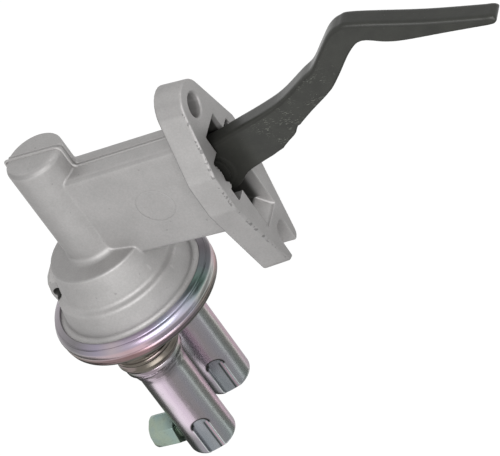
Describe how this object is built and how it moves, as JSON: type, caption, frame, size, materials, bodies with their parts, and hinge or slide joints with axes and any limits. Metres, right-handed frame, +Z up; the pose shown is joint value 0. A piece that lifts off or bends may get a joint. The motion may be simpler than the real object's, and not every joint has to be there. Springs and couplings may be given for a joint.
{
  "type": "mechanical fuel pump",
  "caption": "Diaphragm fuel pump with a bolt-on flange, a long bent rocker arm, a crimped bowl and tube-like cans below.",
  "frame": {"origin": "on the mounting face, midway between the bolt hole and the open slot, on the pump's middle plane", "axes": "+X leaves the mounting face towards the engine, along the rocker arm; +Z runs up the spring tower, away from the cans; +Y completes the frame, so the outlet can is on the -Y side"},
  "size_m": [0.2538, 0.076, 0.1849],
  "materials": {
    "casting": "matte die cast",
    "plated_steel": "iridescent zinc plate",
    "plated_fitting": "yellow-green zinc plate",
    "phosphated_steel": "dark phosphate",
    "spring_steel": "satin",
    "seal_rubber": "matte",
    "phenolic": "matte"
  },
  "bodies": {
    "housing": {"body_casting": "casting", "crimp_ring": "plated_steel", "lower_cover": "plated_steel", "outlet_can": "plated_steel", "inlet_can": "plated_steel", "outlet_fitting": "plated_fitting", "inlet_fitting": "plated_fitting", "pivot_pin": "spring_steel", "hub_washer_near": "spring_steel", "hub_washer_far": "spring_steel", "arm_return_spring": "spring_steel", "diaphragm_spring": "spring_steel", "rod_seal": "seal_rubber", "seal_retainer": "spring_steel", "diaphragm": "seal_rubber", "outlet_valve_seat": "spring_steel", "outlet_valve_spring": "spring_steel", "outlet_valve_stem": "spring_steel", "inlet_valve_seat": "spring_steel", "inlet_valve_spring": "spring_steel", "inlet_valve_stem": "spring_steel"},
    "rocker": {"rocker_arm": "phosphated_steel"},
    "rod": {"pull_rod": "spring_steel", "spring_seat": "spring_steel", "upper_plate": "spring_steel", "lower_plate": "spring_steel"},
    "outlet_disc": {"outlet_valve_disc": "phenolic"},
    "inlet_disc": {"inlet_valve_disc": "phenolic"}
  },
  "joints": [
    {"name": "rocker_hinge", "type": "hinge", "parent": "housing", "child": "rocker", "pos_m": [-0.0075, 0, 0.006], "axis": [0, 1, 0], "range_deg": [0, 4.5], "stiffness_Nm_per_rad": 4, "springref_deg": -17.19},
    {"name": "diaphragm_lift", "type": "slide", "parent": "housing", "child": "rod", "axis": [0, 0, 1], "range_m": [0, 0.0057], "stiffness_N_per_m": 600, "springref_m": -0.008, "deforming": ["arm_return_spring", "diaphragm_spring", "diaphragm"]},
    {"name": "outlet_valve_lift", "type": "slide", "parent": "housing", "child": "outlet_disc", "axis": [0, 0, -1], "range_m": [0, 0.001], "stiffness_N_per_m": 60, "springref_m": -0.002, "deforming": ["outlet_valve_spring"]},
    {"name": "inlet_valve_lift", "type": "slide", "parent": "housing", "child": "inlet_disc", "axis": [0, 0, 1], "range_m": [0, 0.001], "stiffness_N_per_m": 60, "springref_m": -0.002, "deforming": ["inlet_valve_spring"]}
  ],
  "couplings": [
    {"joint": "diaphragm_lift", "follows": "rocker_hinge", "m_per_rad": 0.0715}
  ]
}
